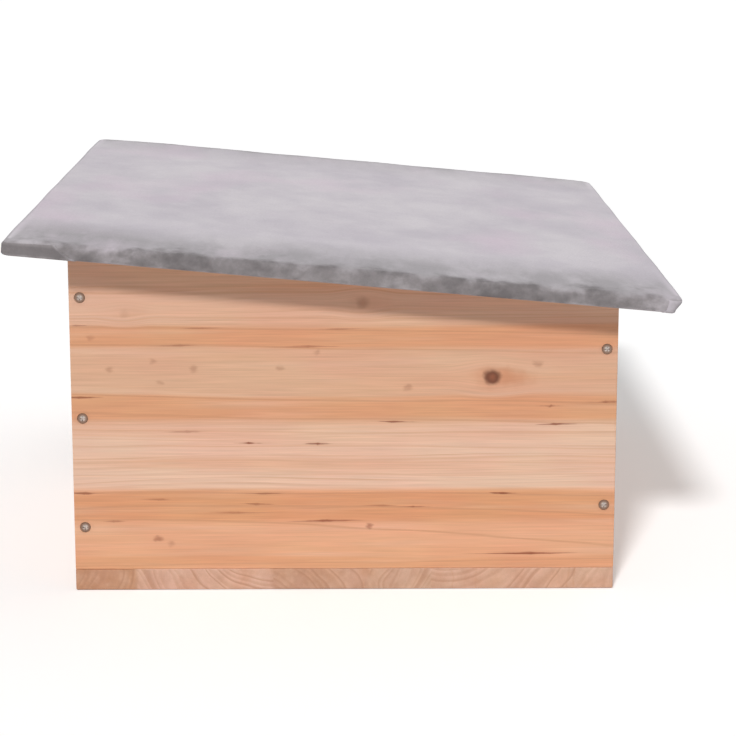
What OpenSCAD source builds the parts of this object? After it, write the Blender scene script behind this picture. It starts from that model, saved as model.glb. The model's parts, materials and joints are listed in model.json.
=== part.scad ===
// Hedgehog house: a fir box with a corridor inside, under a felt covered roof that lifts at the front.
// Millimetres, +Z up. The entrance faces -Y and the roof's hinges are at the back, +Y.
// The origin is on the ground, under the middle of the box.

/* [Box] */
// Outer width of the box, left to right
box_w = 400; // [360:1:480]
// Outer depth of the box, front to back
box_d = 325; // [290:1:400]
// Height of the front wall's outer top edge above the ground
front_h = 209; // [195:1:260]
// Fall of the roof to the back, in degrees
roof_pitch = 5.2; // [3:0.1:8]
// Thickness of the wall boards and the divider
wall_t = 13; // [11:0.5:18]
// Thickness of the floor board
floor_t = 13; // [10:0.5:18]

/* [Entrance and corridor] */
// Width of the entrance, which is also the width of its round head
entrance_w = 120; // [100:1:130]
// Height of the entrance above the floor
entrance_h = 130; // [110:1:145]
// Width of wall left between the entrance and the side wall
entrance_post = 28; // [24:1:40]
// Width of wall left between the entrance and the divider
entrance_reveal = 7; // [3:1:20]
// Way round the end of the divider to the nest
passage = 120; // [100:1:140]
// Gap between the divider and the closed roof
divider_gap = 5; // [2:0.5:10]

/* [Roof] */
// How far the roof stands out past each side wall
side_overhang = 25; // [18:0.5:40]
// How far the roof stands out past the front and back walls
end_overhang = 34.5; // [32:0.5:50]
// Thickness of the bare roof board
roof_t = 7; // [6.5:0.5:12]
// Thickness of the felt
felt_t = 1.2; // [0.8:0.1:1.6]
// Radius of the felt covered edges
edge_r = 3; // [2:0.1:4]
// Radius of the felt covered corners, seen from above
corner_r = 4; // [2.5:0.5:8]
// Width of felt turned under the board
felt_turn = 12; // [9:0.5:16]

/* [Wood screws] */
// Shank diameter of the wood screws
screw_d = 3; // [2.5:0.1:4]
// Head diameter of the wood screws
screw_head_d = 6; // [5:0.1:8]
// Length of the wood screws
screw_l = 30; // [26:1:32]
// Lowest screw at the front of a side wall, above the floor
front_screw_low = 26.5; // [24:0.5:40]
// Highest screw at the front of a side wall, below the roof
front_screw_top = 28; // [15:0.5:40]
// How far the middle screw at the front sits below halfway
front_screw_drop = 3; // [0:0.5:10]
// Lower screw at the back of a side wall, above the floor
back_screw_low = 39.5; // [24:0.5:60]
// Upper screw at the back of a side wall, below the roof
back_screw_top = 31.5; // [24:0.5:50]
// Distance of the outer floor screws from the corners of the box
floor_screw_inset = 60; // [40:1:90]
// Distance of a floor screw in the front wall from the entrance
floor_screw_gap = 35; // [20:1:50]
// Distance of the divider's screws from its edges
divider_screw_inset = 40; // [25:1:55]

/* [Hinges] */
// Distance from the side of the box to the middle of a hinge
hinge_inset = 80; // [50:1:120]
// Length of a hinge along its pin
hinge_len = 40; // [32:1:50]
// Width of a leaf from the pin's middle
leaf_w = 17; // [14:0.5:18]
// Thickness of a leaf
leaf_t = 1; // [0.8:0.1:1.2]
// Radius of the barrel
barrel_r = 2.4; // [2.2:0.1:2.8]
// Number of knuckles on the two leaves together
knuckles = 5; // [3:2:7]
// Diameter of the pin
pin_d = 2.4; // [2:0.1:2.6]
// Thickness of the pin's heads
pin_head_t = 0.8; // [0.5:0.1:1.2]
// How far the pin's heads stand out round the pin
pin_head_over = 0.6; // [0.4:0.1:0.9]
// Shank diameter of the hinge screws
hinge_screw_d = 2.5; // [2:0.1:3]
// Head diameter of the hinge screws
hinge_screw_head_d = 4.6; // [4:0.1:5]
// Length of the screws into the back wall
hinge_wall_screw_l = 11; // [8:0.5:11]
// Length of the screws into the roof board
hinge_roof_screw_l = 6.5; // [5:0.5:6.5]
// Distance of the hinge screws from the end of a leaf
leaf_screw_inset = 8; // [5:0.5:10]

/* [Staples] */
// Width of a staple's crown
staple_w = 10; // [8:0.5:14]
// Length of a staple's legs
staple_leg = 6; // [4:0.5:6.5]
// Width of the flat wire
staple_wire_w = 1.2; // [0.8:0.1:1.6]
// Thickness of the flat wire
staple_wire_t = 0.7; // [0.5:0.1:0.8]
// Distance between staples along an edge
staple_pitch = 62; // [40:1:100]

/* [Clearances] */
// Room round a screw in its hole
screw_clear = 0.1; // [0.05:0.05:0.2]
// Depth of a screw's head below the face
screw_sink = 0.2; // [0:0.05:0.4]
// Room round the pin in its bore
pin_clear = 0.05; // [0.03:0.01:0.09]
// Gap between two knuckles, and between the pin's heads and the barrel
knuckle_gap = 0.3; // [0.2:0.05:0.5]
// Gap between the barrel and the boards
barrel_gap = 0.3; // [0.2:0.05:0.5]
// Gap between the tops of the walls and the closed roof
roof_gap = 0.2; // [0.1:0.05:0.5]
// Room round a staple's legs, and round a leaf in the felt
staple_clear = 0.05; // [0.03:0.01:0.1]

/* [Hidden] */
$fn = 48;

RIGHT = 1;
LEFT = -1;
fir = "#dcac84";
fir_end_grain = "#c69f86";
felt_grey = "#c4bec5";
zinc = "#b4b6b8";

// Reach of a cut past the face that it opens
cut = 1;

// Places of the boards
inner_w = box_w - 2 * wall_t;
inner_d = box_d - 2 * wall_t;
side_x = (box_w - wall_t) / 2;
end_y = (box_d - wall_t) / 2;
entrance_left = -inner_w / 2 + entrance_post;
entrance_right = entrance_left + entrance_w;
divider_x = entrance_right + entrance_reveal + wall_t / 2;
divider_l = inner_d - passage;
divider_y = (divider_l - inner_d) / 2;

// The roof's underside falls to the back, just clear of the front wall's outer top edge
function under_z(y) = front_h + roof_gap - (y + box_d / 2) * tan(roof_pitch);

// Sizes of the covered roof and of the bare board, along the slope
felt_w = box_w + 2 * side_overhang;
felt_l = (box_d + 2 * end_overhang) / cos(roof_pitch);
board_w = felt_w - 2 * felt_t;
board_l = felt_l - 2 * felt_t;

// The hinge pin lies as far from the back wall as from the roof's underside
axis_off = barrel_r + barrel_gap;
axis_y = box_d / 2 + axis_off;
axis_z = under_z(axis_y) - axis_off / cos(roof_pitch);
hinge_x = box_w / 2 - hinge_inset;
knuckle_l = (hinge_len - (knuckles - 1) * knuckle_gap) / knuckles;
plate_start = barrel_r + barrel_gap + knuckle_gap;
WALL_FIRST = 0;
ROOF_FIRST = 1;

// Heights of the screws in a side wall, as [y, z]
front_low_z = floor_t + front_screw_low;
front_top_z = under_z(-end_y) - front_screw_top;
SIDE_SCREWS = [
    [-end_y, front_low_z],
    [-end_y, (front_low_z + front_top_z) / 2 - front_screw_drop],
    [-end_y, front_top_z],
    [end_y, floor_t + back_screw_low],
    [end_y, under_z(end_y) - back_screw_top]
];

// Places of the screws up through the floor into the walls, as [x, y]
floor_screw_x = box_w / 2 - floor_screw_inset;
floor_screw_y = box_d / 2 - floor_screw_inset;
FLOOR_SCREWS = [
    for (side = [LEFT, RIGHT]) for (y = [-floor_screw_y, 0, floor_screw_y]) [side * side_x, y],
    for (side = [LEFT, RIGHT]) [side * floor_screw_x, end_y],
    [entrance_right + floor_screw_gap, -end_y],
    [floor_screw_x, -end_y]
];

// All that lies more than a drop below the roof's underside
module under_roof(drop) {
    rotate([90, 0, 90])
        linear_extrude(2 * box_w, center = true)
            polygon([
                [-box_d, -cut],
                [box_d, -cut],
                [box_d, under_z(box_d) - drop],
                [-box_d, under_z(-box_d) - drop]
            ]);
}

// A board that stands on the floor and reaches up to the roof, by its middle and its size in plan
module standing_board(x, y, w, d, drop = roof_gap) {
    intersection() {
        translate([x - w / 2, y - d / 2, floor_t])
            cube([w, d, 2 * front_h]);
        under_roof(drop);
    }
}

// Countersunk screw that points up, with its head's face at the origin
module screw_body(d, head_d, l, clear, head_cut) {
    head_r = head_d / 2;
    shank_r = d / 2;
    rim = head_d / 20;
    neck = rim + head_r - shank_r;
    point = d;
    rotate_extrude()
        polygon([
            [0, -head_cut],
            [head_r + clear, -head_cut],
            [head_r + clear, rim],
            [shank_r + clear, neck],
            [shank_r + clear, l - point],
            [shank_r / 4 + clear, l + clear],
            [0, l + clear]
        ]);
}

module screw(d, head_d, l) {
    arm = head_d * 0.56;
    slot = head_d / 7;
    deep = head_d / 5;
    difference() {
        screw_body(d, head_d, l, 0, 0);
        for (turn = [0, 90])
            rotate(turn)
                translate([-arm / 2, -slot / 2, -cut])
                    cube([arm, slot, deep + cut]);
    }
}

module wood_screw() {
    screw(screw_d, screw_head_d, screw_l);
}

module wood_screw_hole() {
    screw_body(screw_d, screw_head_d, screw_l, screw_clear, cut);
}

module hinge_screw(l) {
    screw(hinge_screw_d, hinge_screw_head_d, l);
}

module hinge_screw_hole(l) {
    screw_body(hinge_screw_d, hinge_screw_head_d, l, screw_clear, cut);
}

// Places for what is given, pointing into the wood
module at_side_screws(side) {
    for (spot = SIDE_SCREWS)
        translate([side * (box_w / 2 - screw_sink), spot[0], spot[1]])
            rotate([0, -side * 90, 0])
                children();
}

module at_floor_screws() {
    for (spot = FLOOR_SCREWS)
        translate([spot[0], spot[1], screw_sink])
            children();
}

module at_divider_screws() {
    for (z = [floor_t + divider_screw_inset, under_z(-inner_d / 2) - divider_gap - divider_screw_inset])
        translate([divider_x, -box_d / 2 + screw_sink, z])
            rotate([-90, 0, 0])
                children();
    for (end = [-1, 1])
        translate([divider_x, divider_y + end * (divider_l / 2 - divider_screw_inset), screw_sink])
            children();
}

// Frame of a hinge: X along the pin, from the pin's middle
module at_hinge(side) {
    translate([side * hinge_x, axis_y, axis_z])
        children();
}

// Turns what is drawn for the wall's leaf over to the roof
module roof_side() {
    rotate([90 - roof_pitch, 0, 0])
        mirror([0, 1, 0])
            children();
}

module at_leaf_screws() {
    for (end = [-1, 1])
        translate([end * (hinge_len / 2 - leaf_screw_inset), leaf_t - axis_off, -(leaf_w + plate_start) / 2])
            rotate([90, 0, 0])
                children();
}

module at_wall_leaf_screws() {
    for (side = [LEFT, RIGHT])
        at_hinge(side)
            at_leaf_screws()
                children();
}

module at_roof_leaf_screws() {
    for (side = [LEFT, RIGHT])
        at_hinge(side)
            roof_side()
                at_leaf_screws()
                    children();
}

// Frame of the roof: Y down the slope, Z square to it, from the middle of the board's underside
module on_roof() {
    y0 = -roof_t / 2 * sin(roof_pitch);
    translate([0, y0, under_z(y0)])
        rotate([-roof_pitch, 0, 0])
            children();
}

// Places for staples under the roof, crowns along X, an even number of pitches on each edge
module staple_row(edge_l, reach) {
    count = max(2, round(edge_l / staple_pitch));
    step = edge_l / count;
    for (i = [0 : count - 1])
        translate([(i - (count - 1) / 2) * step, reach, -felt_t])
            children();
}

module at_staples() {
    on_roof() {
        for (turn = [0, 180]) {
            rotate(turn)
                staple_row(felt_w, (felt_l - felt_turn) / 2)
                    children();
            rotate(turn + 90)
                staple_row(felt_l, (felt_w - felt_turn) / 2)
                    children();
        }
    }
}

module staple_legs(clear) {
    w = staple_wire_t + 2 * clear;
    d = staple_wire_w + 2 * clear;
    for (end = [-1, 1])
        translate([end * (staple_w - staple_wire_t) / 2 - w / 2, -d / 2, -clear])
            cube([w, d, staple_leg + 2 * clear]);
}

module staple() {
    translate([-staple_w / 2, -staple_wire_w / 2, -staple_wire_t])
        cube([staple_w, staple_wire_w, staple_wire_t]);
    staple_legs(0);
}

// Flat slab about its middle with rounded edges and corners
module rounded_rect(w, h, r) {
    square([w - 2 * r, h], center = true);
    square([w, h - 2 * r], center = true);
    for (x = [-1, 1])
        for (y = [-1, 1])
            translate([x * (w / 2 - r), y * (h / 2 - r)])
                circle(r);
}

module rounded_slab(w, l, t, r_edge, r_corner) {
    intersection() {
        linear_extrude(t, center = true)
            rounded_rect(w, l, r_corner);
        rotate([90, 0, 90])
            linear_extrude(2 * w, center = true)
                rounded_rect(l, t, r_edge);
        rotate([90, 0, 0])
            linear_extrude(2 * l, center = true)
                rounded_rect(w, t, r_edge);
    }
}

module bare_board() {
    translate([0, 0, roof_t / 2])
        rounded_slab(board_w, board_l, roof_t, edge_r - felt_t, corner_r - felt_t);
}

// Boards of the box

module floor_board() {
    color(fir_end_grain)
        difference() {
            translate([-box_w / 2, -box_d / 2, 0])
                cube([box_w, box_d, floor_t]);
            at_floor_screws() wood_screw_hole();
            at_divider_screws() wood_screw_hole();
        }
}

module side_wall(side) {
    color(fir)
        difference() {
            standing_board(side * side_x, 0, wall_t, box_d);
            at_side_screws(side) wood_screw_hole();
            at_floor_screws() wood_screw_hole();
        }
}

module right_wall() {
    side_wall(RIGHT);
}

module left_wall() {
    side_wall(LEFT);
}

module entrance() {
    head_r = entrance_w / 2;
    translate([entrance_left + head_r, 0, floor_t])
        rotate([90, 0, 0])
            linear_extrude(box_d) {
                translate([-head_r, -cut])
                    square([entrance_w, entrance_h - head_r + cut]);
                translate([0, entrance_h - head_r])
                    circle(head_r);
            }
}

module end_wall(y) {
    difference() {
        standing_board(0, y, inner_w, wall_t);
        at_side_screws(RIGHT) wood_screw_hole();
        at_side_screws(LEFT) wood_screw_hole();
        at_floor_screws() wood_screw_hole();
    }
}

module front_wall() {
    color(fir)
        difference() {
            end_wall(-end_y);
            entrance();
            at_divider_screws() wood_screw_hole();
        }
}

module back_wall() {
    color(fir)
        difference() {
            end_wall(end_y);
            at_wall_leaf_screws() hinge_screw_hole(hinge_wall_screw_l);
        }
}

module divider() {
    color(fir)
        difference() {
            standing_board(divider_x, divider_y, wall_t, divider_l, divider_gap);
            at_divider_screws() wood_screw_hole();
        }
}

// Screws of the box

module right_wall_screws() {
    color(zinc)
        at_side_screws(RIGHT) wood_screw();
}

module left_wall_screws() {
    color(zinc)
        at_side_screws(LEFT) wood_screw();
}

module floor_screws() {
    color(zinc)
        at_floor_screws() wood_screw();
}

module divider_screws() {
    color(zinc)
        at_divider_screws() wood_screw();
}

// Hinges

// A leaf drawn as the one on the wall, with every second knuckle from the given one
module hinge_leaf(first, screw_length) {
    difference() {
        union() {
            translate([-hinge_len / 2, -axis_off, -leaf_w])
                cube([hinge_len, leaf_t, leaf_w - plate_start]);
            for (i = [first : 2 : knuckles - 1])
                translate([i * (knuckle_l + knuckle_gap) - hinge_len / 2, 0, 0]) {
                    translate([0, -axis_off, -plate_start])
                        cube([knuckle_l, leaf_t, plate_start]);
                    rotate([0, 90, 0])
                        cylinder(r = barrel_r, h = knuckle_l);
                }
        }
        rotate([0, 90, 0])
            cylinder(r = pin_d / 2 + pin_clear, h = hinge_len + 2 * cut, center = true);
        at_leaf_screws() hinge_screw_hole(screw_length);
    }
}

module hinge_wall_leaf(side) {
    color(zinc)
        at_hinge(side)
            hinge_leaf(WALL_FIRST, hinge_wall_screw_l);
}

module hinge_roof_leaf(side) {
    color(zinc)
        at_hinge(side)
            roof_side()
                hinge_leaf(ROOF_FIRST, hinge_roof_screw_l);
}

module hinge_pin(side) {
    pin_l = hinge_len + 2 * knuckle_gap;
    color(zinc)
        at_hinge(side)
            rotate([0, 90, 0]) {
                cylinder(d = pin_d, h = pin_l, center = true);
                for (end = [-1, 1])
                    translate([0, 0, end * (pin_l + pin_head_t) / 2])
                        cylinder(r = pin_d / 2 + pin_head_over, h = pin_head_t, center = true);
            }
}

module right_hinge_wall_leaf() {
    hinge_wall_leaf(RIGHT);
}

module left_hinge_wall_leaf() {
    hinge_wall_leaf(LEFT);
}

module right_hinge_roof_leaf() {
    hinge_roof_leaf(RIGHT);
}

module left_hinge_roof_leaf() {
    hinge_roof_leaf(LEFT);
}

module right_hinge_pin() {
    hinge_pin(RIGHT);
}

module left_hinge_pin() {
    hinge_pin(LEFT);
}

module hinge_wall_screws() {
    color(zinc)
        at_wall_leaf_screws() hinge_screw(hinge_wall_screw_l);
}

module hinge_roof_screws() {
    color(zinc)
        at_roof_leaf_screws() hinge_screw(hinge_roof_screw_l);
}

// Roof

module roof_board() {
    color(fir)
        difference() {
            on_roof() bare_board();
            at_staples() staple_legs(staple_clear);
            at_roof_leaf_screws() hinge_screw_hole(hinge_roof_screw_l);
        }
}

// Room for a hinge's leaf in the felt that is turned under
module leaf_notch(side) {
    at_hinge(side)
        roof_side()
            translate([-hinge_len / 2 - staple_clear, -axis_off, -leaf_w - staple_clear])
                cube([hinge_len + 2 * staple_clear, felt_t + cut, leaf_w]);
}

module roof_felt() {
    color(felt_grey)
        difference() {
            on_roof()
                difference() {
                    translate([0, 0, roof_t / 2])
                        rounded_slab(felt_w, felt_l, roof_t + 2 * felt_t, edge_r, corner_r);
                    bare_board();
                    translate([felt_turn - felt_w / 2, felt_turn - felt_l / 2, -felt_t - cut])
                        cube([felt_w - 2 * felt_turn, felt_l - 2 * felt_turn, felt_t + 2 * cut]);
                }
            at_staples() staple_legs(staple_clear);
            leaf_notch(RIGHT);
            leaf_notch(LEFT);
        }
}

module felt_staples() {
    color(zinc)
        at_staples() staple();
}

floor_board();
right_wall();
left_wall();
front_wall();
back_wall();
divider();
right_wall_screws();
left_wall_screws();
floor_screws();
divider_screws();
right_hinge_wall_leaf();
left_hinge_wall_leaf();
right_hinge_pin();
left_hinge_pin();
hinge_wall_screws();
roof_board();
roof_felt();
right_hinge_roof_leaf();
left_hinge_roof_leaf();
hinge_roof_screws();
felt_staples();
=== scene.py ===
"""Hedgehog house: fir boards under a roof covered with grey felt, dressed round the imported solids.

Every shape is drawn in millimetres in the frame of the solids, and goes into its mesh in metres.
"""
import json
import math
from functools import partial

import bpy
import numpy as np
from mathutils import Matrix, Vector


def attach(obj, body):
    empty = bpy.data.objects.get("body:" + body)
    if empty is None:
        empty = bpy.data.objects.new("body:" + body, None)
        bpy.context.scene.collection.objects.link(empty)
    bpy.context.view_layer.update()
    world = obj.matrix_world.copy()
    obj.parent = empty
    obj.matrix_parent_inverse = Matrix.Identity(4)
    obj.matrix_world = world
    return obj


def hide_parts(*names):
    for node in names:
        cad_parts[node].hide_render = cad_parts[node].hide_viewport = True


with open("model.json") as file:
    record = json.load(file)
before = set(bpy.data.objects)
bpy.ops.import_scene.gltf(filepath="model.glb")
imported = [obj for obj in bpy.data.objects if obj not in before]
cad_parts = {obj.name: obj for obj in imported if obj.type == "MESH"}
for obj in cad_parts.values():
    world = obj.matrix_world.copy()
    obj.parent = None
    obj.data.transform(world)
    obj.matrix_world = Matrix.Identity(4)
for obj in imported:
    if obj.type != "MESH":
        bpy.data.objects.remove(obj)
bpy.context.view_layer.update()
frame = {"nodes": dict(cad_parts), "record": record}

MM = 0.001
SEED = 20

# Sizes of the house in millimetres, as in the part's source
BOX_W, BOX_D, FRONT_H = 400.0, 325.0, 209.0
WALL_T, FLOOR_T = 13.0, 13.0
PITCH = math.radians(5.2)
ROOF_GAP, DIVIDER_GAP = 0.2, 5.0
SIDE_OVERHANG, END_OVERHANG = 25.0, 34.5
ROOF_T, FELT_T, FELT_TURN = 7.0, 1.2, 12.0
ENTRANCE_W, ENTRANCE_H, ENTRANCE_POST, ENTRANCE_REVEAL = 120.0, 130.0, 28.0, 7.0
PASSAGE = 120.0
SCREW_D, SCREW_HEAD_D, SCREW_L, SCREW_SINK, SCREW_CLEAR = 3.0, 6.0, 30.0, 0.2, 0.1
FRONT_SCREW_LOW, FRONT_SCREW_TOP, FRONT_SCREW_DROP = 26.5, 28.0, 3.0
BACK_SCREW_LOW, BACK_SCREW_TOP = 39.5, 31.5
FLOOR_SCREW_INSET, FLOOR_SCREW_GAP, DIVIDER_SCREW_INSET = 60.0, 35.0, 40.0

# Places that follow from the sizes
INNER_W, INNER_D = BOX_W - 2 * WALL_T, BOX_D - 2 * WALL_T
SIDE_X, END_Y = (BOX_W - WALL_T) / 2, (BOX_D - WALL_T) / 2
ENTRANCE_X = -INNER_W / 2 + ENTRANCE_POST + ENTRANCE_W / 2
DIVIDER_X = ENTRANCE_X + ENTRANCE_W / 2 + ENTRANCE_REVEAL + WALL_T / 2
DIVIDER_L = INNER_D - PASSAGE
DIVIDER_Y = (DIVIDER_L - INNER_D) / 2
FELT_W, FELT_L = BOX_W + 2 * SIDE_OVERHANG, (BOX_D + 2 * END_OVERHANG) / math.cos(PITCH)
FELT_TOP = ROOF_T + FELT_T


def under_z(y):
    """Height of the roof's underside: the front edge's height less the fall to y."""
    return FRONT_H + ROOF_GAP - (y + BOX_D / 2) * math.tan(PITCH)


def on_roof(points):
    """Roof frame to house frame: a turn by the pitch about X, then a shift to the underside's middle."""
    x, y, z = np.moveaxis(np.asarray(points, float), -1, 0)
    y0 = -ROOF_T / 2 * math.sin(PITCH)
    sin, cos = math.sin(PITCH), math.cos(PITCH)
    return np.stack([x, y0 + y * cos + z * sin, under_z(y0) - y * sin + z * cos], axis=-1)


# Meshes

# A board's eased edges: their depth, its corners' radius and the easing's layers
EASE, CORNER, EASE_LAYERS = 0.6, 0.9, 4
# A screw hole: wood crushed round the head, the straight part of its rim, and how the drill is drawn
SINK_RING, HEAD_RIM = 0.3, SCREW_HEAD_D / 20
DRILL_PROUD, DRILL_SIDES = 1.0, 32


def ring_quads(rows, cols):
    """Quads of a grid whose rows are closed rings: each ring's points joined to the next ring's."""
    row, col = np.meshgrid(np.arange(rows - 1), np.arange(cols), indexing="ij")
    after = (col + 1) % cols
    here, above = row * cols, (row + 1) * cols
    return np.stack([here + col, here + after, above + after, above + col], -1).reshape(-1, 4)


def strip_quads(rows, cols):
    """Quads of an open grid of rows by cols points."""
    row, col = np.meshgrid(np.arange(rows - 1), np.arange(cols - 1), indexing="ij")
    first = row * cols + col
    return np.stack([first, first + 1, first + cols + 1, first + cols], -1).reshape(-1, 4)


def new_object(name, points, faces):
    """Object at the origin from points in millimetres and lists of corners."""
    mesh = bpy.data.meshes.new(name)
    mesh.from_pydata((np.asarray(points) * MM).tolist(), [], faces)
    mesh.validate()
    made = bpy.data.objects.new(name, mesh)
    bpy.context.scene.collection.objects.link(made)
    return made


def dress(made, material, body, stands_for):
    """Gives a finished piece its material, the body it rides on and the solid it stands for."""
    made.data.materials.clear()
    made.data.materials.append(material)
    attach(made, body)
    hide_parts(stands_for)


def eased_corners(outline, radius, steps=3):
    """Closed outline with rounded corners: a parabola from one radius before a corner to one after it."""
    corner = np.asarray(outline, float)
    back, on = np.roll(corner, 1, axis=0) - corner, np.roll(corner, -1, axis=0) - corner
    start = corner + radius * back / np.linalg.norm(back, axis=1, keepdims=True)
    end = corner + radius * on / np.linalg.norm(on, axis=1, keepdims=True)
    t = np.linspace(0, 1, steps + 1)[None, :, None]
    curve = (1 - t) ** 2 * start[:, None] + 2 * t * (1 - t) * corner[:, None] + t ** 2 * end[:, None]
    return curve.reshape(-1, 2)


def inset(outline, depth, sharpest=0.2):
    """Anticlockwise outline moved in by depth: each point goes along the mean normal of its two sides."""
    side = np.roll(outline, -1, axis=0) - outline
    side /= np.linalg.norm(side, axis=1, keepdims=True)
    inward = np.stack([-side[:, 1], side[:, 0]], axis=1)
    mean = inward + np.roll(inward, 1, axis=0)
    mean /= np.maximum((mean * inward).sum(axis=1, keepdims=True), sharpest)
    return outline + depth * mean


def outwards(made):
    """Turns a closed shell right way out if its signed volume, summed over its triangles, is negative."""
    mesh = made.data
    mesh.calc_loop_triangles()
    spots = np.empty(len(mesh.vertices) * 3)
    mesh.vertices.foreach_get("co", spots)
    corners = np.empty(len(mesh.loop_triangles) * 3, dtype=int)
    mesh.loop_triangles.foreach_get("vertices", corners)
    a, b, c = np.moveaxis(spots.reshape(-1, 3)[corners.reshape(-1, 3)], 1, 0)
    if np.einsum("ij,ij->i", a, np.cross(b, c)).sum() < 0:
        mesh.flip_normals()


def board(name, outline, thickness, place, ease=EASE, corner=CORNER):
    """Board with eased edges: its outline carried through the thickness, drawn in along a quarter circle at
    both faces. place turns (across, up, through) points into the house frame."""
    rim = eased_corners(outline, corner)
    turn = np.linspace(0, math.pi / 2, EASE_LAYERS)
    through = thickness / 2 - ease * (1 - np.sin(turn))
    drawn_in = ease * (1 - np.cos(turn))
    layers = np.concatenate([-through[::-1], through])
    depths = np.concatenate([drawn_in[::-1], drawn_in])
    rings = np.stack([
        np.column_stack([inset(rim, depth), np.full(len(rim), layer)])
        for layer, depth in zip(layers, depths)
    ])
    count = len(rim)
    last = (len(layers) - 1) * count
    caps = [list(range(count))[::-1], list(range(last, last + count))]
    made = new_object(name, place(rings.reshape(-1, 3)), ring_quads(len(layers), count).tolist() + caps)
    outwards(made)
    return made


def bored(made, heads, into):
    """Cuts countersunk screw holes: a head's and shank's profile turned about each screw's axis."""
    into = np.asarray(into, float)
    side = np.roll(into, 1)
    up = np.cross(into, side)
    head_r, shank_r = SCREW_HEAD_D / 2 + SINK_RING, SCREW_D / 2 + SCREW_CLEAR
    radius = np.array([head_r, head_r, shank_r, shank_r])
    depth = np.array([-DRILL_PROUD, HEAD_RIM, HEAD_RIM + head_r - shank_r, SCREW_L + SCREW_CLEAR])
    turn = np.linspace(0, 2 * math.pi, DRILL_SIDES, endpoint=False)
    around = np.cos(turn)[:, None] * side + np.sin(turn)[:, None] * up
    tool = radius[:, None, None] * around + depth[:, None, None] * into
    points = (np.asarray(heads, float)[:, None, None, :] + tool).reshape(-1, 3)
    size = len(radius) * DRILL_SIDES
    one = ring_quads(len(radius), DRILL_SIDES).tolist()
    one += [list(range(DRILL_SIDES))[::-1], list(range(size - DRILL_SIDES, size))]
    faces = [[corner + hole * size for corner in face] for hole in range(len(heads)) for face in one]
    drill = new_object(made.name + "_drill", points, faces)
    cut = made.modifiers.new("screw_holes", "BOOLEAN")
    cut.operation = "DIFFERENCE"
    cut.solver = "EXACT"
    cut.object = drill
    view = bpy.context.evaluated_depsgraph_get()
    done = bpy.data.meshes.new_from_object(made.evaluated_get(view))
    made.modifiers.clear()
    made.data = done
    bpy.data.objects.remove(drill)


# Materials

def srgb(code):
    """Linear colour of an sRGB hex code."""
    share = np.array([int(code[i:i + 2], 16) for i in (1, 3, 5)]) / 255
    linear = np.where(share <= 0.04045, share / 12.92, ((share + 0.055) / 1.055) ** 2.4)
    return (*linear.tolist(), 1.0)


def wire(made, wires):
    """Gives a node's inputs, by name or number, a constant or another node's output."""
    for key, value in wires.items():
        if isinstance(value, bpy.types.NodeSocket):
            made.id_data.links.new(value, made.inputs[key])
        else:
            made.inputs[key].default_value = value


# Which of a node's properties its mode is
MODES = {
    "Math": "operation", "VectorMath": "operation", "MapRange": "interpolation_type", "Mix": "data_type",
    "Mapping": "vector_type", "TexNoise": "noise_dimensions", "TexWhiteNoise": "noise_dimensions",
}


def node(tree, kind, *values, stops=(), between="LINEAR", **settings):
    """Adds a node of a kind, with its mode after a space, and gives its first output. The values go to its
    inputs in order, such as a Map Range's value, the range it is read in and the range it goes to. stops
    and between are a colour ramp's; settings are other properties."""
    kind, _, mode = kind.partition(" ")
    made = tree.nodes.new("ShaderNode" + kind)
    if mode:
        settings[MODES[kind]] = mode
    for key, value in settings.items():
        setattr(made, key, value)
    for i, (position, colour) in enumerate(stops):
        band = made.color_ramp
        band.interpolation = between
        stop = band.elements[i] if i < 2 else band.elements.new(position)
        stop.position = position
        stop.color = colour
    used = [i for i, socket in enumerate(made.inputs) if socket.enabled]
    wire(made, dict(zip(used, values)))
    return next(socket for socket in made.outputs if socket.enabled)


# A noise keeps close to a half: where nearly all of it lies, and where most of it lies
ALL_NOISE, MOST_NOISE = (0.25, 0.75), (0.35, 0.65)


def surface(name):
    """New material: itself, what adds a node to it, and its shader."""
    made = bpy.data.materials.new(name)
    made.use_nodes = True
    return made, partial(node, made.node_tree), made.node_tree.nodes["Principled BSDF"]


# Planed fir: colours of its strips and warm bands, late wood and resin, knots, and sawn ends
PALE, ORANGE, TAN, ROSE, HONEY = "#e5bea6", "#d8986e", "#d9aa8c", "#ddb399", "#e3a985"
LATE_WOOD, RESIN = "#c28b66", "#905630"
KNOT, KNOT_HEART, KNOT_HALO = "#5a2b14", "#84492f", "#c07c54"
CUT_DARK, CUT_PALE, CUT_RING = "#bd9276", "#deb9a2", "#a87658"
# Patches shift its hue: a factor that is a little pink, and what turns it to straw
PINKISH, TO_STRAW = (1.0, 0.96, 0.97), (0.0, 0.08, 0.05)
AXES = {"x": 0, "y": 1, "z": 2}

# Noise drawn out along the grain: length and width of its features in millimetres, and its detail. Real
# fibres are too fine to show, so they are drawn coarser.
GRAIN = {
    "wander": (200, 26, 1), "broad": (380, 16, 2), "band": (120, 6, 2),
    "thread": (60, 1.6, 2), "fibre": (28, 0.8, 3), "patch": (70, 20, 2),
}
SWAY = 4.0
FINE_SHADES = (("thread", 0.94, 1.05), ("fibre", 0.95, 1.045))

# A colour ramp carries a strip's pith and ring width as shares of these; glue lines blend the colours
PITH_SPANS, WIDEST_RING, GLUE_BLEND = (500.0, 500.0, 0.2), 10.0, 1.5
# How dark a year's wood gets, by season, on a planed face and on a sawn end, and how strong a year is
FACE_LATE = ((0, 0), (0.45, 0.12), (0.8, 0.9), (0.9, 1), (1, 0.05))
CUT_LATE = ((0, 0), (0.3, 0.3), (0.62, 1), (0.8, 0.8), (1, 0))
FAINT_YEAR, STRONG_YEAR = 0.06, 0.5
# Long lines of late wood: half widths of the full and the fading line, and how far the grain shakes them
LINE_CORE, LINE_EDGE, LINE_SHAKE = 0.15, 0.95, 0.9

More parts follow.
